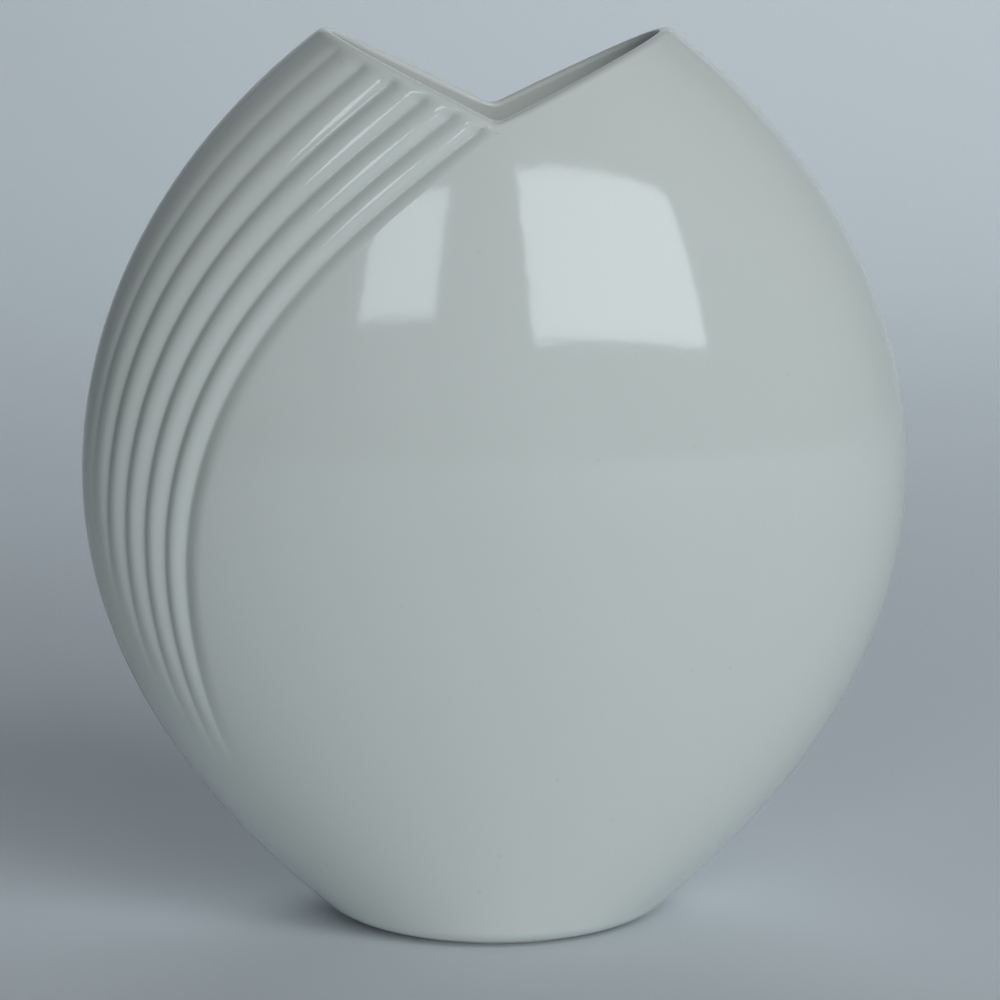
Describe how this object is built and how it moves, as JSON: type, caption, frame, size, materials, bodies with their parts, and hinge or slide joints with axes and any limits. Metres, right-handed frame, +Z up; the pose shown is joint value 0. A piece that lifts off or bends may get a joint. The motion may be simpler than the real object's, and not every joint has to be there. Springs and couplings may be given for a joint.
{
  "type": "pillow vase",
  "caption": "Flattened round-bodied white glazed porcelain vase with a V-cut mouth and a fan of pleats falling from the rim down one side of each face.",
  "frame": {"origin": "on the table, under the middle of the foot ring", "axes": "+Z up; seen from the front, +X is to the right along the width and +Y is away from the viewer, through the depth"},
  "size_m": [0.184, 0.086, 0.1998],
  "materials": {
    "white_glaze": "gloss",
    "bare_clay": "matte"
  },
  "bodies": {
    "root": {"front_wall": "white_glaze", "front_pleats": "white_glaze", "back_wall": "white_glaze", "back_pleats": "white_glaze", "rim": "white_glaze", "floor": "white_glaze", "foot_ring": "bare_clay"}
  },
  "joints": []
}
